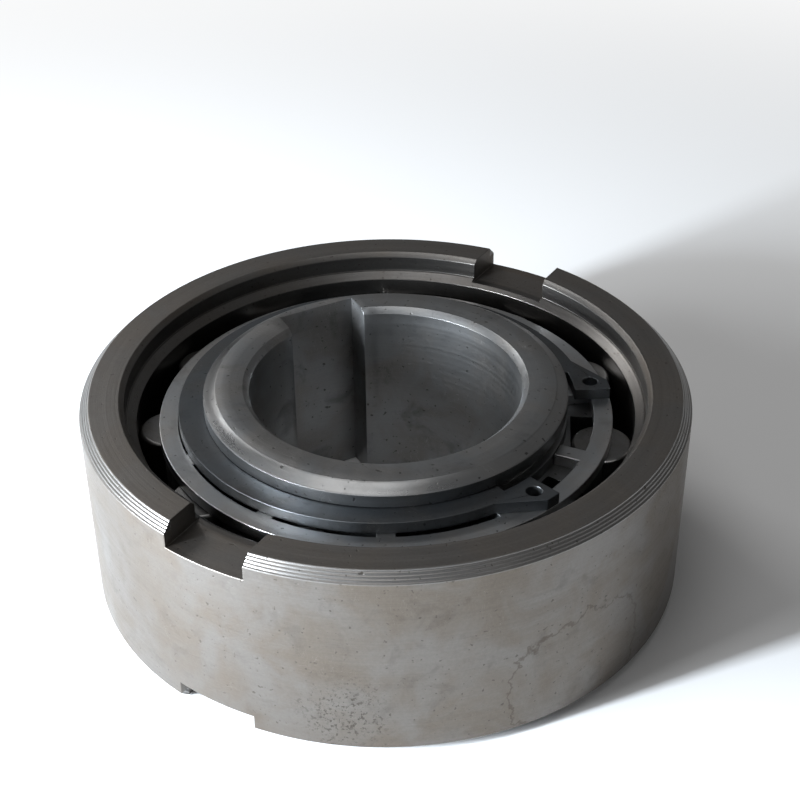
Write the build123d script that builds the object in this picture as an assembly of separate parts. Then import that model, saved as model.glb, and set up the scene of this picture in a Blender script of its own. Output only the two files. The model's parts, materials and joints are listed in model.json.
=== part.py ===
from build123d import *
import os
from math import cos, radians, sin, sqrt

# Roller type one-way clutch, standing on one end face.
# Frame: origin at the centre of the lower end face, +Z up along the bore axis,
# the driving slots of the outer ring lie on the Y axis. Millimetres and degrees.

# Inner ring: keyed hub and the star that carries the rollers
bore_radius = 22.5
bore_chamfer = 1.0
hub_wall = 7.5
hub_chamfer_width = 2.0
hub_chamfer_height = 1.3
key_width = 14.0
key_depth = 3.8
key_angle = 150.0
star_width = 20.0
star_gap = 3.8              # between the tips of the star and the raceway

# Rollers and the ramps that they wedge on
roller_count = 11
roller_radius = 5.0
roller_end_play = 0.1       # at each end, under the side plates
roller_play = 0.05          # to the ramp and to the raceway, when it is about to wedge
roller_travel = 1.0         # along the ramp, from the wedge to fully released
release_gap = 1.0           # left between a released roller and the arm of the star
ramp_rise = 0.6             # of the flat ramp over the hub
wedge_angle = 7.4
pocket_clearance = 0.6      # round the roller, at the narrow end of its pocket
first_pocket_angle = 27.0

# Spring loaded plungers
plunger_radius = 1.75
plunger_fit = 0.08          # radial, in its bore
plunger_seat = 2.4          # length inside its bore, with the roller at the wedge
plunger_rise = 2.6          # of its axis over the ramp
spring_length = 3.2         # behind the plunger, with the roller at the wedge
wire_radius = 0.2
spring_fit = 0.1            # radial, in the bore
spring_turns = 4
spring_sides = 5            # straight lengths of wire in a turn, enough for a part this small

# Side plates
plate_thickness = 2.0
plate_overhang = 0.3        # past the tips of the star
plate_rim = 3.2             # solid rim outside the windows
plate_fit = 0.05            # radial, on the hub
tab_width = 3.0
tab_offset = 12.0           # from each roller, back over the arm of the star

# Retaining rings
retainer_thickness = 2.0
retainer_groove_depth = 1.5
retainer_groove_play = 0.15
retainer_band = 5.8         # widest, opposite the gap
retainer_band_narrowing = 1.0
retainer_gap_half_angle = 24.0
retainer_gap_angle = 11.0
lug_length = 4.2            # beyond the band, at the open ends
lug_angle = 4.0             # of the full height of the lug
lug_slope_angle = 12.0      # over which it falls back to the band
lug_relief = 1.5            # gap between the open ends and the hub
plier_hole_radius = 1.25

# Outer ring
end_land = 3.5              # of the hub, beyond each retaining ring
race_step = 1.7             # from the raceway out to the recess at each end
ring_wall = 7.3             # from the recess out to the outside
ring_chamfer = 1.6
recess_depth = 3.5
recess_chamfer = 0.8
lead_in_height = 1.1
lead_in_width = 1.4
slot_width = 14.0
slot_depth = 4.0
slot_angles = (90.0, 270.0)

# Sizes that follow
hub_radius = bore_radius + hub_wall
ramp_distance = hub_radius + ramp_rise
roller_x = ramp_distance + roller_play + roller_radius
roller_orbit = roller_x / cos(radians(wedge_angle))
roller_y = -roller_orbit * sin(radians(wedge_angle))
race_radius = roller_orbit + roller_radius + roller_play
star_radius = race_radius - star_gap
plate_radius = star_radius + plate_overhang
plate_bore = hub_radius + plate_fit
window_radius = plate_radius - plate_rim
groove_radius = hub_radius - retainer_groove_depth
recess_radius = race_radius + race_step
ring_radius = recess_radius + ring_wall
pitch_angle = 360.0 / roller_count
end_stack = plate_thickness + retainer_thickness + end_land
ring_width = star_width + 2 * end_stack
middle = ring_width / 2
plate_seat = middle + star_width / 2            # height of the upper face of the star
retainer_seat = plate_seat + plate_thickness
retainer_top = retainer_seat + retainer_thickness
plunger_x = ramp_distance + plunger_rise
touch_height = roller_x - min(roller_x, plunger_x + plunger_radius)
plunger_front = roller_y + roller_play + sqrt(roller_radius**2 - touch_height**2)
pocket_wall = plunger_front + roller_travel + release_gap
plunger_length = roller_travel + release_gap + plunger_seat
plunger_bore_radius = plunger_radius + plunger_fit
plunger_bore_depth = plunger_seat + spring_length
spring_radius = plunger_bore_radius - spring_fit - wire_radius
beyond = 2 * ring_radius                        # longer than anything it cuts


def turned(outline):
    """Solid of revolution about Z from (radius, height) points."""
    return revolve(Plane.XZ * make_face(Polyline(*outline, close=True)), Axis.Z)


def mirrored_outline(upper):
    """Outline from its upper half, which starts and ends at mid height."""
    lower = [(radius, ring_width - height) for radius, height in reversed(upper)]
    return upper + lower


def sector(half_angle):
    """Triangle about the +X axis, large enough to cut right through."""
    reach = beyond * cos(radians(half_angle))
    spread = beyond * sin(radians(half_angle))
    return make_face(Polyline((0, 0), (reach, -spread), (reach, spread), close=True))


def polar_point(radius, angle):
    return (radius * cos(radians(angle)), radius * sin(radians(angle)))


def make_outer_ring():
    """Plain cylindrical outside, hardened raceway, recessed ends, two slots in each face."""
    recess_floor = ring_width - recess_depth
    upper = [
        (race_radius, recess_floor - lead_in_height),
        (race_radius + lead_in_width, recess_floor),
        (recess_radius, recess_floor),
        (recess_radius, ring_width - recess_chamfer),
        (recess_radius + recess_chamfer, ring_width),
        (ring_radius - ring_chamfer, ring_width),
        (ring_radius, ring_width - ring_chamfer),
    ]
    ring = turned(mirrored_outline(upper))
    cutter = Pos(race_radius, 0, 0) * Box(
        ring_radius, slot_width, slot_depth, align=(Align.MIN, Align.CENTER, Align.MIN))
    for angle in slot_angles:
        for height in (0, ring_width - slot_depth):
            ring -= Rot(0, 0, angle) * Pos(0, 0, height) * cutter
    return ring


def roller_pocket():
    """Plan of one pocket: flat ramp, plunger wall and a hollow that follows the roller."""
    hollow_radius = roller_radius + pocket_clearance
    beyond_ramp = Pos(ramp_distance + beyond / 2, 0) * Rectangle(beyond, beyond)
    hollow = (Pos(roller_x, roller_y) * Circle(hollow_radius)) & beyond_ramp
    ramp_run = pocket_wall - roller_y
    over_ramp = Pos(ramp_distance, roller_y) * Rectangle(
        beyond, ramp_run, align=(Align.MIN, Align.MIN))
    mouth = Pos(roller_x, roller_y) * Rectangle(
        beyond, hollow_radius, align=(Align.MIN, Align.MAX))
    return hollow + over_ramp + mouth


def make_inner_ring():
    """Keyed hub in one piece with the star, which has a ramp for each roller."""
    groove_top = retainer_top + retainer_groove_play
    hub_top = [
        (hub_radius, retainer_seat),
        (groove_radius, retainer_seat),
        (groove_radius, groove_top),
        (hub_radius, groove_top),
        (hub_radius, ring_width - hub_chamfer_height),
        (hub_radius - hub_chamfer_width, ring_width),
        (bore_radius + bore_chamfer, ring_width),
        (bore_radius, ring_width - bore_chamfer),
    ]
    hub = turned(mirrored_outline(hub_top))
    plan = Circle(star_radius) - Circle(hub_radius - hub_wall / 2)
    bores = []
    for angle in pocket_angles():
        plan -= Rot(0, 0, angle) * roller_pocket()
        bore = Cylinder(plunger_bore_radius, plunger_bore_depth,
                        align=(Align.CENTER, Align.CENTER, Align.MIN))
        bores.append(along_ramp(angle, pocket_wall) * bore)
    star = Pos(0, 0, plate_seat - star_width) * extrude(plan, star_width)
    keyway = Pos(bore_radius + key_depth, 0, middle) * Box(
        bore_radius, key_width, beyond, align=(Align.MAX, Align.CENTER, Align.CENTER))
    return hub + star - bores - Rot(0, 0, key_angle) * keyway


def pocket_angles():
    return [first_pocket_angle + pitch_angle * index for index in range(roller_count)]


def along_ramp(angle, start):
    """Place with Z along a plunger's axis, as far along it as start, away from the wedge."""
    return Rot(0, 0, angle) * Pos(plunger_x, start, middle) * Rot(-90, 0, 0)


def make_roller(angle):
    """Cylindrical roller at the narrow end of its ramp."""
    roller = Cylinder(roller_radius, star_width - 2 * roller_end_play)
    return Rot(0, 0, angle) * Pos(roller_x, roller_y, middle) * roller


def make_plunger(angle):
    """Pin that pushes the roller up its ramp."""
    pin = Cylinder(plunger_radius, plunger_length, align=(Align.CENTER, Align.CENTER, Align.MIN))
    return along_ramp(angle, plunger_front) * pin


def make_spring(angle):
    """Compression spring between the plunger and the bottom of its bore."""
    rise = spring_length - 2 * wire_radius
    steps = spring_turns * spring_sides
    step_angle = 360.0 / spring_sides
    coil = Polyline(*[polar_point(spring_radius, step_angle * step) + (rise * step / steps,)
                      for step in range(steps + 1)])
    wire = Plane(origin=coil @ 0, z_dir=coil % 0) * RegularPolygon(wire_radius, 4)
    spring = sweep(wire, path=coil, transition=Transition.RIGHT)
    return along_ramp(angle, plunger_front + plunger_length + wire_radius) * spring


def make_side_plate():
    """Plate that keeps the rollers in, centred on the hub by a tab for each of them."""
    roller_bearing = first_pocket_angle - wedge_angle
    plan = Circle(plate_radius) - Circle(window_radius)
    tab_length = window_radius - hub_radius + plate_rim / 2
    for index in range(roller_count):
        angle = roller_bearing - tab_offset + pitch_angle * index
        tab = Pos(hub_radius + tab_length / 2, 0) * Rectangle(tab_length, tab_width)
        plan += Rot(0, 0, angle) * tab
    return extrude(plan - Circle(plate_bore), plate_thickness)


def make_retainer():
    """Open spring ring with plier lugs at its ends, its gap about +X."""
    inner = groove_radius
    shift = retainer_band_narrowing / 2
    band = Pos(-shift, 0) * Circle(inner + retainer_band - shift) - Circle(inner)
    relief = Circle(hub_radius + lug_relief) & sector(
        retainer_gap_half_angle + lug_angle + lug_slope_angle / 2)
    band -= relief
    band -= sector(retainer_gap_half_angle)
    root = inner + retainer_band - retainer_band_narrowing
    low = hub_radius + lug_relief
    for side in (1, -1):
        ends = retainer_gap_half_angle * side
        full = ends + lug_angle * side
        foot = full + lug_slope_angle * side
        lug = make_face(Polyline(
            polar_point(low, ends),
            polar_point(root + lug_length, ends),
            polar_point(root + lug_length, full),
            polar_point(root, foot),
            polar_point(low, full),
            close=True))
        hole = polar_point((low + root + lug_length) / 2, (ends + full) / 2 + lug_angle / 2 * side)
        band += lug
        band -= Pos(*hole) * Circle(plier_hole_radius)
    return extrude(band, retainer_thickness)


def flipped(part):
    """The same part at the lower end."""
    return Pos(0, 0, ring_width) * Rot(180, 0, 0) * part


def save(part, name):
    export_step(part, f"parts/{name}.step")
    print(name, round(part.volume, 1), "mm3")


os.makedirs("parts", exist_ok=True)
save(make_outer_ring(), "outer_ring")
save(make_inner_ring(), "inner_ring")
plate = Pos(0, 0, plate_seat) * make_side_plate()
save(plate, "side_plate_upper")
save(mirror(plate, Plane.XY.offset(middle)), "side_plate_lower")
retainer = Pos(0, 0, retainer_seat) * Rot(0, 0, retainer_gap_angle) * make_retainer()
save(retainer, "retaining_ring_upper")
save(flipped(retainer), "retaining_ring_lower")
for index, angle in enumerate(pocket_angles()):
    save(make_roller(angle), f"roller_{index + 1:02d}")
    save(make_plunger(angle), f"plunger_{index + 1:02d}")
    save(make_spring(angle), f"spring_{index + 1:02d}")
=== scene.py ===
import json
import math
import bmesh
import bpy
from mathutils import Matrix, Vector

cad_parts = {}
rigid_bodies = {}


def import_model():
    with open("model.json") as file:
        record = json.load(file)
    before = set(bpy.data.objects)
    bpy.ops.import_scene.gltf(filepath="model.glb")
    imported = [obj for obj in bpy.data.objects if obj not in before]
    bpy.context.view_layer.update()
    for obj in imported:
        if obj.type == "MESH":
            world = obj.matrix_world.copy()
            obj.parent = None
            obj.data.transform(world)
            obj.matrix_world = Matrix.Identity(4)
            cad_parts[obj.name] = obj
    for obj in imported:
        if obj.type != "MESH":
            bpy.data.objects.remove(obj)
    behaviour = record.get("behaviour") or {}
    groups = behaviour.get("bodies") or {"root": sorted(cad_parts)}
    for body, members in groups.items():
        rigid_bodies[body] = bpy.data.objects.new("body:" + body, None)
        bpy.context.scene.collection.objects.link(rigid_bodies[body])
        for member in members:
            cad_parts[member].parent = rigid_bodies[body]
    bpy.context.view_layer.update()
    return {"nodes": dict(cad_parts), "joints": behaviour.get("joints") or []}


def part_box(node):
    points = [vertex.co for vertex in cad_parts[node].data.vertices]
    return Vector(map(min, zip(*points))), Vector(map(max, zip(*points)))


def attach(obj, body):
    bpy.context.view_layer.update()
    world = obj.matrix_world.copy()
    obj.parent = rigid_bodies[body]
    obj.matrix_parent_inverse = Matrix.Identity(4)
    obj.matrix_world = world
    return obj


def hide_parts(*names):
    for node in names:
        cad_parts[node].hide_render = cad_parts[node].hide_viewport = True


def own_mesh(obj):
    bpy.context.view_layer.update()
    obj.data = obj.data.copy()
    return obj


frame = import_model()
print("frame loaded:", len(frame["nodes"]), "nodes")

mm = 0.001
sharpAngle = math.radians(28)  # edges sharper than this are broken and stay sharp in the shading
ringLow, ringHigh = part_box("outer_ring")
ringRadius = (ringHigh.x - ringLow.x) / 2
topHeight = ringHigh.z
frontTurn = 32.6  # degrees from the driving slot round to the side that faces the camera

# the camera looks down at the clutch, with a driving slot to the left of the middle
camera = {
    "elevation": 33.25,
    "distance": 5.2977,  # from the middle of the upper face, in ring radii
    "roll": 0.825,
    "pan": 0.51,
    "tilt": 0.739,
    "lens": 72.5,
}


def direction(azimuth, elevation):
    # azimuth 0 is to the camera's right, 180 to its left, 270 towards it
    a = math.radians(azimuth + frontTurn)
    e = math.radians(elevation)
    return Vector((math.cos(a) * math.cos(e), math.sin(a) * math.cos(e), math.sin(e)))


def makeCamera(s):
    data = bpy.data.cameras.new("camera")
    data.lens = s["lens"]
    data.sensor_width = 36
    data.clip_start = 0.01
    obj = bpy.data.objects.new("camera", data)
    bpy.context.collection.objects.link(obj)
    e = math.radians(s["elevation"])
    back = Vector((0, -math.cos(e), math.sin(e)))
    aim = Matrix((Vector((1, 0, 0)), Vector((0, math.sin(e), math.cos(e))), back))
    roll = Matrix.Rotation(math.radians(s["roll"]), 3, "Z")
    pan = Matrix.Rotation(math.radians(s["pan"]), 3, "Y")
    tilt = Matrix.Rotation(math.radians(s["tilt"]), 3, "X")
    turn = Matrix.Rotation(math.radians(frontTurn), 4, "Z")
    place = Vector((0, 0, topHeight)) + back * s["distance"] * ringRadius
    local = (tilt @ pan @ roll @ aim).transposed().to_4x4()
    obj.matrix_world = turn @ Matrix.Translation(place) @ local
    bpy.context.scene.camera = obj


makeCamera(camera)
print("camera placed")


# shader maths: a Signal is one output socket, and an expression on signals adds Math nodes
class Signal:
    def __init__(self, paint, socket):
        self.paint = paint
        self.socket = socket

    def math(self, operation, first, second):
        return self.paint.node("ShaderNodeMath", {"operation": operation}, {0: first, 1: second})

    def __add__(self, other):
        return self.math("ADD", self, other)

    def __radd__(self, other):
        return self.math("ADD", other, self)

    def __sub__(self, other):
        return self.math("SUBTRACT", self, other)

    def __rsub__(self, other):
        return self.math("SUBTRACT", other, self)

    def __mul__(self, other):
        return self.math("MULTIPLY", self, other)

    def __rmul__(self, other):
        return self.math("MULTIPLY", other, self)


class Paint:
    def __init__(self, name, tree=None):
        if tree is None:
            self.material = bpy.data.materials.new(name)
            self.material.use_nodes = True
            tree = self.material.node_tree
        self.tree = tree
        tree.nodes.clear()

    def node(self, kind, settings=None, inputs=None, output=0):
        node = self.tree.nodes.new(kind)
        for key, value in (settings or {}).items():
            setattr(node, key, value)
        for key, value in (inputs or {}).items():
            if isinstance(value, Signal):
                self.tree.links.new(value.socket, node.inputs[key])
            else:
                node.inputs[key].default_value = value
        return Signal(self, node.outputs[output]) if node.outputs else None

    def mixColour(self, factor, first, second):
        return self.node("ShaderNodeMix", {"data_type": "RGBA"}, {0: factor, 6: first, 7: second}, 2)

    def vector(self, x, y, z):
        return self.node("ShaderNodeCombineXYZ", {}, {0: x, 1: y, 2: z})

    def noise(self, vector, scale, detail=2.0, rough=0.5, bend=0.0):
        return self.node("ShaderNodeTexNoise", {}, {
            "Vector": vector, "Scale": scale, "Detail": detail, "Roughness": rough, "Distortion": bend})

    def between(self, value, low, high):
        # 0 below low, 1 above high, smooth in between; low may be the larger
        return self.node("ShaderNodeMapRange", {"interpolation_type": "SMOOTHSTEP"}, {
            0: value, 1: low, 2: high, 3: 0.0, 4: 1.0})

    def band(self, value, low, high, soft):
        # 1 from low to high, 0 outside
        risen = self.between(value, low - soft, low + soft)
        return risen * self.between(value, high + soft, high - soft)

    def larger(self, first, second):
        return self.node("ShaderNodeMath", {"operation": "MAXIMUM"}, {0: first, 1: second})

    def root(self, value):
        return self.node("ShaderNodeMath", {"operation": "SQRT"}, {0: value})

    def split(self, vector):
        x = self.node("ShaderNodeSeparateXYZ", {}, {0: vector}, "X")
        return x, self.other(x, "Y"), self.other(x, "Z")

    def other(self, signal, output):
        # another output of the node that a signal comes from
        return Signal(self, signal.socket.node.outputs[output])


def grey(value, warmth=0.0):
    return (value * (1 + warmth), value, value * (1 - warmth), 1.0)


# what all the steels share: fields are cut between a low and a high value of their noise
steelShared = {
    "coarseDrift": 0.02, "coarseShare": 0.22, "grainScale": 2.2,
    "speckLow": 0.74, "speckHigh": 0.78, "speckSpread": 0.06, "speckDark": 0.75,
    "scratchLow": 0.497, "scratchHigh": 0.503, "scratchSoft": 0.004, "scratchDepth": 0.006,
    "scratchWhere": (0.50, 0.66), "scratchRough": 0.08, "scratchBright": 0.5,
    "tintRange": (0.36, 0.66), "dirtRange": (0.52, 0.72), "dirtRough": 0.12,
    "bandRough": 0.12, "bandDepth": 1.6,
}


# one steel for every piece; each piece's dictionary says how it was finished and how it has aged, and
# for the rings also where shade and highlights are painted into the colour
def makeSteel(name, look, marksAndPaintedLight=None):
    s = dict(steelShared, **look)
    p = Paint(name)
    place = p.node("ShaderNodeTexCoord", {}, {}, "Object")
    metric = p.node("ShaderNodeVectorMath", {"operation": "SCALE"}, {0: place, "Scale": 1000.0})
    x, y, z = p.split(metric)
    radius = p.root(x * x + y * y)

    # tool lines run round the axis on every turned face
    along = p.vector(x * s["lineDrift"], y * s["lineDrift"], (radius + z) * s["lineDensity"])
    lines = p.noise(along, 1.0, 3.0, 0.65)
    coarse = p.vector(x * s["coarseDrift"], y * s["coarseDrift"],
                      (radius + z) * s["lineDensity"] * s["coarseShare"])
    bands = p.noise(coarse, 1.0, 2.0, 0.5)
    blotches = p.noise(metric, 1 / s["blotchSize"], 4.0, 0.55, 0.6)
    grain = p.noise(metric, s["grainScale"], 3.0, 0.7)

    # pits and specks, few and small
    speckField = p.noise(metric, 1 / s["speckSize"], 1.0, 0.4)
    specks = p.between(speckField, s["speckLow"] - s["speckAmount"] * s["speckSpread"], s["speckHigh"])
    scratchRun = p.node("ShaderNodeMapping", {}, {0: metric, "Rotation": (0.5, 0.9, 0.3),
                                                 "Scale": (0.05, 1.7, 0.3)})
    scratchField = p.noise(scratchRun, 1.0, 2.0, 0.6, 0.8)
    scratches = p.band(scratchField, s["scratchLow"], s["scratchHigh"], s["scratchSoft"])
    scratches = scratches * p.between(blotches, *s["scratchWhere"]) * s["scratchAmount"]

    tint = p.between(blotches, *s["tintRange"])
    colour = p.mixColour(tint, s["cool"], s["warm"])
    dirtField = p.noise(metric, 1 / s["dirtSize"], 5.0, 0.6, 0.4)
    dirt = p.between(dirtField, *s["dirtRange"]) * s["dirtAmount"]
    colour = p.mixColour(dirt, colour, s["dark"])
    shade = 1.0 - (lines * s["lineShade"] + grain * s["grainShade"])
    rough = (s["rough"] + (blotches - 0.5) * s["roughSpread"] + (bands - 0.5) * s["bandRough"]
             + dirt * s["dirtRough"] + scratches * s["scratchRough"])
    height = (lines * s["lineDepth"] + bands * s["lineDepth"] * s["bandDepth"]
              - specks * s["speckDepth"] - scratches * s["scratchDepth"] + grain * s["grainDepth"])
    if marksAndPaintedLight:
        colour, rough, height = marksAndPaintedLight(p, s, metric, radius, colour, rough, height)
    shaded = p.vector(shade, shade, shade)
    colour = p.node("ShaderNodeMix", {"data_type": "RGBA", "blend_type": "MULTIPLY"},
                    {0: 1.0, 6: colour, 7: shaded}, 2)
    colour = p.mixColour(specks * s["speckDark"], colour, s["dark"])
    colour = p.mixColour(scratches * s["scratchBright"], colour, s["bright"])
    bump = p.node("ShaderNodeBump", {}, {"Strength": 1.0, "Distance": mm, "Height": height})
    shader = p.node("ShaderNodeBsdfPrincipled", {}, {
        "Base Color": colour, "Metallic": 1.0, "Roughness": rough, "Normal": bump})
    p.node("ShaderNodeOutputMaterial", {}, {"Surface": shader})
    return p.material


groundSteelLook = {
    "height": topHeight / mm,
    "cool": grey(0.205, 0.07), "warm": grey(0.165, 0.15),
    "dark": grey(0.07, 0.14), "bright": grey(0.50),
    "lineDrift": 0.012, "lineDensity": 7.0, "lineShade": 0.16, "lineDepth": 0.012,
    "blotchSize": 11.0, "dirtSize": 4.5, "dirtAmount": 0.24, "grainShade": 0.22, "grainDepth": 0.006,
    "speckSize": 0.7, "speckAmount": 0.9, "speckDepth": 0.02, "scratchAmount": 0.25,
    "rough": 0.44, "roughSpread": 0.14,
    "tideBearing": 306.0, "tideHeight": 9.0,   # middle of the dried oil mark, degrees and mm
    "tideRadius": 12.75, "tideWander": 11.0,
    "tideTop": 23.0,
    "pitBearing": 262.0, "pitHeight": 8.0, "pitSize": 9.0,
    "wallRadius": 49.8,         # everything further out is the ground wall
    "rimRadius": 48.35, "rimDepth": 1.65,      # where the outer chamfers begin
    "ridgeDensity": 8.5, "ridgeDepth": 0.035,
    "faceInner": 43.35, "faceOuter": 48.25,    # flat of the end faces
    "oilRadius": 43.0,          # everything inside it is painted darker as shade in the recess, and made smoother as with oil
}


def outerRingMarksAndPaintedLight(p, s, metric, radius, colour, rough, height):
    x, y, z = p.split(metric)
    onWall = p.between(radius, s["wallRadius"] - 0.1, s["wallRadius"] + 0.1)
    # dried oil has left a thin brown outline on the wall
    wander = p.noise(metric, 0.16, 4.0, 0.6) - 0.5
    tide = direction(s["tideBearing"], 0) * ringRadius / mm
    dx, dy, dz = x - tide.x, y - tide.y, z - s["tideHeight"]
    reach = p.root(dx * dx + dy * dy + dz * dz * 1.3)
    edge = reach + wander * s["tideWander"]
    outline = p.band(edge, s["tideRadius"] - 0.15, s["tideRadius"] + 0.15, 0.28)
    outline = outline * onWall * p.between(z, s["tideTop"] + 3.0, s["tideTop"] - 3.0)
    inside = p.between(edge, s["tideRadius"] + 0.25, s["tideRadius"] - 3.75) * onWall
    colour = p.mixColour(outline * 0.75, colour, grey(0.07, 0.25))
    colour = p.mixColour(inside * 0.22, colour, grey(0.15, 0.16))
    # rust pits in a loose patch low on the front
    pit = direction(s["pitBearing"], 0) * ringRadius / mm
    px, py, pz = x - pit.x, y - pit.y, z - s["pitHeight"]
    near = p.root(px * px + py * py + pz * pz)
    patch = p.between(near + wander * 9.0, s["pitSize"], s["pitSize"] * 0.3) * onWall
    pits = p.between(p.noise(metric, 1.5, 2.0, 0.7), 0.53, 0.63) * patch
    colour = p.mixColour(pits * 0.7, colour, grey(0.06, 0.16))
    height = height - pits * 0.03
    # the rims keep coarser turning lines, and their colour is painted paler: a painted highlight on the
    # chamfers
    rimStart = s["height"] - s["rimDepth"]
    upperRim = p.between(z, rimStart - 0.15, rimStart + 0.15)
    lowerRim = p.between(z, s["rimDepth"] + 0.15, s["rimDepth"] - 0.15)
    outside = p.between(radius, s["rimRadius"] - 0.15, s["rimRadius"] + 0.15)
    rim = p.larger(upperRim, lowerRim) * outside
    ridge = p.node("ShaderNodeMath", {"operation": "SINE"},
                   {0: (radius - z) * s["ridgeDensity"] + wander * 1.5})
    height = height + ridge * rim * s["ridgeDepth"]
    rough = rough - rim * 0.10
    # painted highlight: the chamfer colour is lifted towards pale grey all round
    colour = p.mixColour(rim * 0.45, colour, grey(0.50))
    # painted shade darkens the inside, where the recess lies in shade, and oil makes it smoother
    inner = p.between(radius, s["oilRadius"] + 0.6, s["oilRadius"] - 0.6)
    colour = p.mixColour(inner * 0.55, colour, grey(0.16, 0.0))
    rough = rough - inner * 0.12
    # end faces are painted darker, a painted shade for the dark they reflect, and are a little smoother
    # than the wall
    face = (p.between(radius, s["faceOuter"] + 0.15, s["faceOuter"] - 0.15)
            * p.between(radius, s["faceInner"] - 0.15, s["faceInner"] + 0.15))
    colour = p.mixColour(face * 0.40, colour, grey(0.20, 0.04))
    return colour, rough, height


hubSteelLook = {
    "height": topHeight / mm,
    "chamferInner": 28.2, "chamferOuter": 29.8, "chamferDepth": 1.4,
    "wallRadius": 29.3,
    "cool": grey(0.34, -0.02), "warm": grey(0.29, 0.03),
    "dark": grey(0.06, 0.05), "bright": grey(0.80),
    "lineDrift": 0.02, "lineDensity": 7.0, "lineShade": 0.14, "lineDepth": 0.005,
    "blotchSize": 9.0, "dirtSize": 6.0, "dirtAmount": 0.35, "grainShade": 0.12, "grainDepth": 0.003,
    "speckSize": 0.8, "speckAmount": 0.9, "speckDepth": 0.02, "scratchAmount": 0.6,
    "rough": 0.38, "roughSpread": 0.16,
}


def innerRingMarksAndPaintedLight(p, s, metric, radius, colour, rough, height):
    z = p.split(metric)[2]
    # the chamfer at each end is painted brighter, a painted highlight, and the wall under it is painted
    # darker, a painted shade in the recess between hub and plate
    chamferStart = s["height"] - s["chamferDepth"]
    upperEnd = p.between(z, chamferStart - 0.2, chamferStart + 0.2)
    lowerEnd = p.between(z, s["chamferDepth"] + 0.2, s["chamferDepth"] - 0.2)
    sloping = p.band(radius, s["chamferInner"], s["chamferOuter"], 0.12)
    chamfer = sloping * p.larger(upperEnd, lowerEnd)
    # painted highlight on the end chamfers
    colour = p.mixColour(chamfer * 0.5, colour, grey(0.45))
    rough = rough - chamfer * 0.08
    wall = (p.between(radius, s["wallRadius"] - 0.3, s["wallRadius"] + 0.3)
            * p.between(z, s["height"] - 1.1, s["height"] - 1.6) * p.between(z, 1.1, 1.6))
    # painted shade: the hub's side wall, where it stands in the recess, is darkened
    colour = p.mixColour(wall * 0.55, colour, grey(0.15, -0.06))
    return colour, rough, height


plateSteelLook = {
    "cool": grey(0.52, -0.04), "warm": grey(0.44, 0.02), "dark": grey(0.10, 0.0), "bright": grey(0.8),
    "lineDrift": 0.03, "lineDensity": 6.0, "lineShade": 0.10, "lineDepth": 0.003,
    "blotchSize": 11.0, "dirtSize": 7.0, "dirtAmount": 0.30, "grainShade": 0.10, "grainDepth": 0.003,
    "speckSize": 0.7, "speckAmount": 0.8, "speckDepth": 0.015, "scratchAmount": 0.8,
    "rough": 0.36, "roughSpread": 0.18,
}
springSteelLook = {
    "cool": grey(0.13, -0.08), "warm": grey(0.11, -0.02), "dark": grey(0.03, 0.0), "bright": grey(0.5),
    "lineDrift": 0.3, "lineDensity": 1.5, "lineShade": 0.06, "lineDepth": 0.001,
    "blotchSize": 8.0, "dirtSize": 5.0, "dirtAmount": 0.25, "grainShade": 0.16, "grainDepth": 0.004,
    "speckSize": 0.6, "speckAmount": 0.7, "speckDepth": 0.012, "scratchAmount": 0.5,
    "rough": 0.42, "roughSpread": 0.16,
}
rollerSteelLook = {
    "cool": grey(0.24, 0.0), "warm": grey(0.20, 0.03), "dark": grey(0.05, 0.05), "bright": grey(0.6),
    "lineDrift": 0.9, "lineDensity": 0.9, "lineShade": 0.08, "lineDepth": 0.001,
    "blotchSize": 5.0, "dirtSize": 4.0, "dirtAmount": 0.30, "grainShade": 0.12, "grainDepth": 0.003,
    "speckSize": 0.5, "speckAmount": 0.6, "speckDepth": 0.01, "scratchAmount": 0.4,
    "rough": 0.34, "roughSpread": 0.14,
}
plungerSteelLook = dict(rollerSteelLook, rough=0.30, cool=grey(0.45, 0.0), warm=grey(0.38, 0.02))
springWireLook = dict(rollerSteelLook, rough=0.32, cool=grey(0.36, -0.02), warm=grey(0.30, 0.02),
                      dirtAmount=0.2)

groundSteel = makeSteel("groundSteel", groundSteelLook, outerRingMarksAndPaintedLight)
hubSteel = makeSteel("hubSteel", hubSteelLook, innerRingMarksAndPaintedLight)
plateSteel = makeSteel("plateSteel", plateSteelLook)
springSteel = makeSteel("springSteel", springSteelLook)
rollerSteel = makeSteel("rollerSteel", rollerSteelLook)
plungerSteel = makeSteel("plungerSteel", plungerSteelLook)
springWire = makeSteel("springWire", springWireLook)
print("materials made")


def addObject(name, mesh):
    obj = bpy.data.objects.new(name, mesh)
    bpy.context.collection.objects.link(obj)
    return obj


def plainMesh(obj, name):
    # what the modifiers make, as a plain mesh
    bpy.context.view_layer.update()
    shown = obj.evaluated_get(bpy.context.evaluated_depsgraph_get())
    mesh = bpy.data.meshes.new_from_object(shown)
    mesh.name = name
    obj.modifiers.clear()
    obj.data = mesh
    return obj


def mergeClose(obj, distance):
    bm = bmesh.new()
    bm.from_mesh(obj.data)
    bmesh.ops.remove_doubles(bm, verts=bm.verts, dist=distance)
    bmesh.ops.dissolve_degenerate(bm, edges=bm.edges, dist=distance)
    bm.to_mesh(obj.data)
    bm.free()


def roundEdges(obj, width, segments):
    bevel = obj.modifiers.new("edges", "BEVEL")
    bevel.width = width
    bevel.segments = segments
    bevel.limit_method = "ANGLE"
    bevel.angle_limit = sharpAngle
    bevel.harden_normals = True
    bevel.use_clamp_overlap = True


def finish(obj, node, body, material):
    obj.data.materials.clear()
    obj.data.materials.append(material)
    for face in obj.data.polygons:
        face.material_index = 0
    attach(obj, body)
    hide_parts(node)


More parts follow.
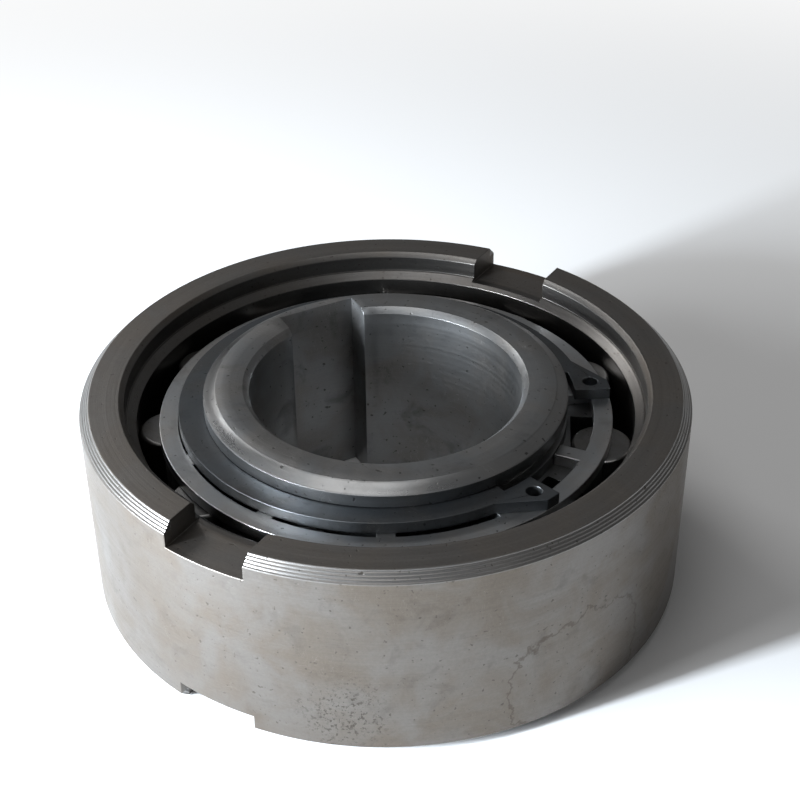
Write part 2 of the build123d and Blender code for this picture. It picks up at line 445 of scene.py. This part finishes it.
# rigid pieces: the solid's own faces, with every sharp edge broken as on a deburred part
solidWeld = 0.002 * mm
dressed = {
    "inner_ring": {"piece": "innerRing", "edge": 0.20 * mm, "body": "inner", "slot": "hub_steel",
                   "material": hubSteel},
    "side_plate_upper": {"piece": "sidePlateUpper", "edge": 0.18 * mm, "body": "inner",
                         "slot": "plate_steel", "material": plateSteel},
    "side_plate_lower": {"piece": "sidePlateLower", "edge": 0.18 * mm, "body": "inner",
                         "slot": "plate_steel", "material": plateSteel},
    "retaining_ring_upper": {"piece": "retainingRingUpper", "edge": 0.15 * mm, "body": "inner",
                             "slot": "spring_steel", "material": springSteel},
    "retaining_ring_lower": {"piece": "retainingRingLower", "edge": 0.15 * mm, "body": "inner",
                             "slot": "spring_steel", "material": springSteel},
}


def dressNode(node, s):
    bm = bmesh.new()
    bm.from_mesh(frame["nodes"][node].data)
    bmesh.ops.remove_doubles(bm, verts=bm.verts, dist=solidWeld)
    for face in bm.faces:
        face.smooth = True
    mesh = bpy.data.meshes.new(s["piece"])
    bm.to_mesh(mesh)
    bm.free()
    mesh.set_sharp_from_angle(angle=sharpAngle)
    obj = addObject(s["piece"], mesh)
    roundEdges(obj, s["edge"], 2)
    plainMesh(obj, s["piece"])
    finish(obj, node, s["body"], s["material"])
    return obj


for node, settings in dressed.items():
    dressNode(node, settings)
print("rigid pieces dressed:", len(dressed))


# the Geometry Nodes trees share one builder
class Tree:
    def __init__(self, name, sizes):
        self.group = bpy.data.node_groups.new(name, "GeometryNodeTree")
        face = self.group.interface
        face.new_socket("Geometry", in_out="OUTPUT", socket_type="NodeSocketGeometry")
        face.new_socket("Geometry", in_out="INPUT", socket_type="NodeSocketGeometry")
        self.ids = {}
        for label, kind in sizes.items():
            self.ids[label] = face.new_socket(label, in_out="INPUT", socket_type=kind).identifier
        self.start = self.group.nodes.new("NodeGroupInput")
        self.end = self.group.nodes.new("NodeGroupOutput")

    def size(self, label):
        return self.start.outputs[label]

    def add(self, kind, settings=None, inputs=None, output=0):
        node = self.group.nodes.new(kind)
        for key, value in (settings or {}).items():
            setattr(node, key, value)
        for key, value in (inputs or {}).items():
            if isinstance(value, bpy.types.NodeSocket):
                self.group.links.new(value, node.inputs[key])
            else:
                node.inputs[key].default_value = value
        return node.outputs[output]

    def close(self, geometry, material):
        real = self.add("GeometryNodeRealizeInstances", {}, {0: geometry})
        smooth = self.add("GeometryNodeSetShadeSmooth", {}, {0: real})
        done = self.add("GeometryNodeSetMaterial", {}, {"Geometry": smooth, "Material": material})
        self.group.links.new(done, self.end.inputs[0])

    def use(self, name, values):
        obj = addObject(name, bpy.data.meshes.new(name))
        modifier = obj.modifiers.new("shape", "NODES")
        modifier.node_group = self.group
        for label, value in values.items():
            modifier[self.ids[label]] = value
        return obj


# outer ring: a closed outline turned about the axis by rule, with slots cut in both end faces
outerRing = {
    "facets": 240,
    "race": 41.0 * mm,
    "recess": 42.7 * mm,
    "recessDepth": 3.5 * mm,
    "recessChamfer": 0.8 * mm,
    "leadInHeight": 1.1 * mm,
    "leadInWidth": 1.4 * mm,
    "chamfer": 1.6 * mm,
    "ridges": 3,                # turned lines on each outer chamfer
    "ridgeDepth": 0.045 * mm,
    "slotWidth": 14.0 * mm,
    "slotDepth": 4.0 * mm,
    "slotAngles": (90, 270),
    "slotStart": 40.0 * mm,     # the cutters reach from inside the raceway to beyond the wall
    "slotReach": 20.0 * mm,
    "edge": 0.12 * mm,
    "weld": 0.001 * mm,
    "merge": 0.004 * mm,
}


def ringOutline(s):
    # the upper half from the raceway outwards, then the same mirrored
    floor = topHeight - s["recessDepth"]
    upper = [
        (s["race"], floor - s["leadInHeight"]),
        (s["race"] + s["leadInWidth"], floor),
        (s["recess"], floor),
        (s["recess"], topHeight - s["recessChamfer"]),
        (s["recess"] + s["recessChamfer"], topHeight),
        (ringRadius - s["chamfer"], topHeight),
    ]
    for step in range(1, 2 * s["ridges"]):
        share = s["chamfer"] * step / (2 * s["ridges"])
        sunk = s["ridgeDepth"] * (step % 2)
        upper.append((ringRadius - s["chamfer"] + share - sunk, topHeight - share - sunk))
    upper.append((ringRadius, topHeight - s["chamfer"]))
    return upper + [(r, topHeight - z) for r, z in reversed(upper)]


def makeOuterRing(s):
    outline = ringOutline(s)
    tree = Tree("ringShape", {
        "Facets": "NodeSocketInt", "Corners": "NodeSocketInt", "Slot Width": "NodeSocketFloat",
        "Slot Depth": "NodeSocketFloat", "Height": "NodeSocketFloat", "Reach": "NodeSocketFloat"})

    def calc(operation, *values):
        return tree.add("ShaderNodeMath", {"operation": operation}, dict(enumerate(values)))

    rows = calc("ADD", tree.size("Facets"), 1)
    sheet = tree.add("GeometryNodeMeshGrid", {}, {
        "Vertices X": calc("ADD", tree.size("Corners"), 1), "Vertices Y": rows})
    index = tree.add("GeometryNodeInputIndex")
    corner = calc("FLOOR", calc("DIVIDE", calc("ADD", index, 0.5), rows))
    turn = calc("SUBTRACT", index, calc("MULTIPLY", corner, rows))
    angle = calc("MULTIPLY", calc("DIVIDE", turn, tree.size("Facets")), math.tau)
    wrapped = calc("MODULO", corner, tree.size("Corners"))
    point = tree.add("GeometryNodeSampleIndex", {"data_type": "FLOAT_VECTOR"}, {
        "Geometry": tree.start.outputs[0], "Value": tree.add("GeometryNodeInputPosition"),
        "Index": wrapped})
    radius = tree.add("ShaderNodeSeparateXYZ", {}, {0: point}, "X")
    height = radius.node.outputs["Y"]
    place = tree.add("ShaderNodeCombineXYZ", {}, {
        0: calc("MULTIPLY", radius, calc("COSINE", angle)),
        1: calc("MULTIPLY", radius, calc("SINE", angle)), 2: height})
    turned = tree.add("GeometryNodeSetPosition", {}, {"Geometry": sheet, "Position": place})
    closed = tree.add("GeometryNodeMergeByDistance", {}, {"Geometry": turned, "Distance": s["weld"]})
    cutters = tree.group.nodes.new("GeometryNodeJoinGeometry")
    box = tree.add("GeometryNodeMeshCube", {}, {"Size": tree.add("ShaderNodeCombineXYZ", {}, {
        0: tree.size("Reach"), 1: tree.size("Slot Width"),
        2: calc("MULTIPLY", tree.size("Slot Depth"), 2)})})
    middle = calc("ADD", s["slotStart"], calc("DIVIDE", tree.size("Reach"), 2))
    for slotAngle in s["slotAngles"]:
        a = math.radians(slotAngle)
        for level in (0.0, tree.size("Height")):
            spot = tree.add("ShaderNodeCombineXYZ", {}, {
                0: calc("MULTIPLY", middle, math.cos(a)), 1: calc("MULTIPLY", middle, math.sin(a)),
                2: level})
            cutter = tree.add("GeometryNodeTransform", {}, {
                "Geometry": box, "Translation": spot, "Rotation": (0, 0, a)})
            tree.group.links.new(cutter, cutters.inputs[0])
    cut = tree.add("GeometryNodeMeshBoolean", {"operation": "DIFFERENCE", "solver": "EXACT"}, {
        "Mesh 1": closed, "Mesh 2": cutters.outputs[0]})
    tree.close(cut, groundSteel)

    obj = tree.use("outerRing", {
        "Facets": s["facets"], "Corners": len(outline), "Slot Width": s["slotWidth"],
        "Slot Depth": s["slotDepth"], "Height": topHeight, "Reach": s["slotReach"]})
    obj.data.from_pydata([(r, z, 0) for r, z in outline], [], [])
    plainMesh(obj, "outerRing")
    mergeClose(obj, s["merge"])
    obj.data.set_sharp_from_angle(angle=sharpAngle)
    roundEdges(obj, s["edge"], 2)
    plainMesh(obj, "outerRing")
    mergeClose(obj, s["merge"])
    finish(obj, "outer_ring", "outer", groundSteel)
    bm = bmesh.new()
    bm.from_mesh(obj.data)
    volume = round(bm.calc_volume(signed=True) / mm ** 3)
    openEdges = sum(not edge.is_manifold for edge in bm.edges)
    print("outer ring turned:", len(bm.faces), "faces,", volume, "mm3,", openEdges, "open edges")
    bm.free()


makeOuterRing(outerRing)

# rollers
roller = {
    "corner": 0.6 * mm,
    "cornerSteps": 4,
    "facets": 96,
}
rollerTree = Tree("rollerShape", {
    "Radius": "NodeSocketFloat", "Length": "NodeSocketFloat", "Facets": "NodeSocketInt",
    "Place": "NodeSocketVector"})
rollerBody = rollerTree.add("GeometryNodeMeshCylinder", {}, {
    "Vertices": rollerTree.size("Facets"), "Radius": rollerTree.size("Radius"),
    "Depth": rollerTree.size("Length")}, "Mesh")
rollerPlaced = rollerTree.add("GeometryNodeTransform", {}, {
    "Geometry": rollerBody, "Translation": rollerTree.size("Place")})
rollerTree.close(rollerPlaced, rollerSteel)

numbers = [node[-2:] for node in sorted(frame["nodes"]) if node.startswith("roller_")]
for number in numbers:
    low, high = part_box("roller_" + number)
    obj = rollerTree.use("rollerPiece" + number, {
        "Radius": (high.x - low.x) / 2, "Length": high.z - low.z, "Facets": roller["facets"],
        "Place": (low + high) / 2})
    roundEdges(obj, roller["corner"], roller["cornerSteps"])
    plainMesh(obj, obj.name)
    finish(obj, "roller_" + number, "roller_" + number, rollerSteel)
print("rollers made:", len(numbers))

# plungers keep their own solids; coil springs are wound behind them
coil = {
    "wire": 0.2 * mm,
    "radius": 1.53 * mm,
    "length": 3.2 * mm,         # over the outside of the end turns
    "turns": 4.5,
    "plungerLength": 4.4 * mm,
    "travel": 1.0 * mm,
    "steps": 24,                # in one turn
    "wireFacets": 8,
}
coilTree = Tree("coilShape", {
    "Wire": "NodeSocketFloat", "Radius": "NodeSocketFloat", "Height": "NodeSocketFloat",
    "Turns": "NodeSocketFloat", "Steps": "NodeSocketInt", "Place": "NodeSocketVector",
    "Turn": "NodeSocketVector"})
helix = coilTree.add("GeometryNodeCurveSpiral", {}, {
    "Resolution": coilTree.size("Steps"), "Rotations": coilTree.size("Turns"),
    "Start Radius": coilTree.size("Radius"), "End Radius": coilTree.size("Radius"),
    "Height": coilTree.size("Height")})
wireCircle = coilTree.add("GeometryNodeCurvePrimitiveCircle", {}, {
    "Resolution": coil["wireFacets"], "Radius": coilTree.size("Wire")})
wound = coilTree.add("GeometryNodeCurveToMesh", {}, {
    "Curve": helix, "Profile Curve": wireCircle, "Fill Caps": True})
coilPlaced = coilTree.add("GeometryNodeTransform", {}, {
    "Geometry": wound, "Translation": coilTree.size("Place"), "Rotation": coilTree.size("Turn")})
coilTree.close(coilPlaced, springWire)

slideAxis = {joint["name"]: Vector(joint["axis"]) for joint in frame["joints"] if "axis" in joint}
for number in numbers:
    low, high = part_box("plunger_" + number)
    joint = f"plunger_{number}_slide"
    axis = slideAxis[joint]
    front = (low + high) / 2 + axis * (coil["plungerLength"] / 2 + coil["wire"])
    obj = coilTree.use("coilSpring" + number, {
        "Wire": coil["wire"], "Radius": coil["radius"], "Height": coil["length"] - 2 * coil["wire"],
        "Turns": coil["turns"], "Steps": coil["steps"], "Place": front,
        "Turn": axis.to_track_quat("Z", "Y").to_euler()})
    plainMesh(obj, obj.name)
    finish(obj, "spring_" + number, "inner", springWire)
    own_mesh(obj)
    pin = frame["nodes"]["plunger_" + number]
    pin.data.materials.clear()
    pin.data.materials.append(plungerSteel)
print("coil springs wound:", len(numbers))


# floor, lamps and world
floorLook = {
    "size": 12.0,
    "colour": grey(0.86),
    "near": 0.11,               # metres from the middle: the shadow fades from here
    "far": 0.36,                # and is gone here
    "mirrorNear": 0.72,         # reflections of the floor turn white between these
    "mirrorFar": 1.8,
    "white": 0.97,
}


def makeFloor(s):
    half = s["size"] / 2
    mesh = bpy.data.meshes.new("floor")
    corners = [(-half, -half, 0), (half, -half, 0), (half, half, 0), (-half, half, 0)]
    mesh.from_pydata(corners, [], [(0, 1, 2, 3)])
    obj = addObject("floor", mesh)
    obj.location.z = -0.1 * mm
    p = Paint("floor")
    place = p.node("ShaderNodeTexCoord", {}, {}, "Object")
    away = p.node("ShaderNodeVectorMath", {"operation": "LENGTH"}, {0: place}, "Value")
    path = p.node("ShaderNodeLightPath", {}, {}, "Is Camera Ray")
    shine = p.other(path, "Is Glossy Ray")
    through = p.other(path, "Is Transmission Ray")
    plain = p.node("ShaderNodeBsdfDiffuse", {}, {"Color": s["colour"]})
    white = p.node("ShaderNodeEmission", {}, {"Color": grey(s["white"]), "Strength": 1.0})
    factor = p.larger(path * p.between(away, s["near"], s["far"]),
                      p.larger(shine, through) * p.between(away, s["mirrorNear"], s["mirrorFar"]))
    shader = p.node("ShaderNodeMixShader", {}, {0: factor, 1: plain, 2: white})
    p.node("ShaderNodeOutputMaterial", {}, {"Surface": shader})
    mesh.materials.append(p.material)


makeFloor(floorLook)

lamps = {
    "key": {"azimuth": 206, "elevation": 24, "distance": 0.36, "width": 0.17, "power": 1.5,
            "tint": (0.95, 0.98, 1.0)},
    "window": {"azimuth": 210, "elevation": 12, "distance": 0.42, "width": 0.03, "height": 0.19,
               "power": 7.5, "tint": (0.84, 0.92, 1.0)},
    "back": {"azimuth": 128, "elevation": 36, "distance": 0.9, "width": 0.30, "power": 1.6},
    "overhead": {"azimuth": 200, "elevation": 78, "distance": 0.9, "width": 0.5, "power": 1.2},
}
worldGrey = 0.13


def makeLamp(name, s):
    data = bpy.data.lights.new(name, "AREA")
    data.energy = s["power"]
    data.shape = "RECTANGLE"
    data.size = s["width"]
    data.size_y = s.get("height", s["width"])
    data.color = s.get("tint", (1.0, 1.0, 1.0))
    obj = bpy.data.objects.new(name, data)
    bpy.context.collection.objects.link(obj)
    aim = direction(s["azimuth"], s["elevation"])
    obj.location = aim * s["distance"] + Vector((0, 0, topHeight / 2))
    obj.rotation_euler = aim.to_track_quat("Z", "Y").to_euler()


for name, settings in lamps.items():
    makeLamp(name, settings)

world = bpy.data.worlds.new("world")
world.use_nodes = True
bpy.context.scene.world = world
sky = Paint("world", world.node_tree)
glow = sky.node("ShaderNodeBackground", {}, {"Color": grey(worldGrey), "Strength": 1.0})
sky.node("ShaderNodeOutputWorld", {}, {"Surface": glow})
print("floor and lamps placed")

bpy.context.scene.view_settings.view_transform = "Standard"
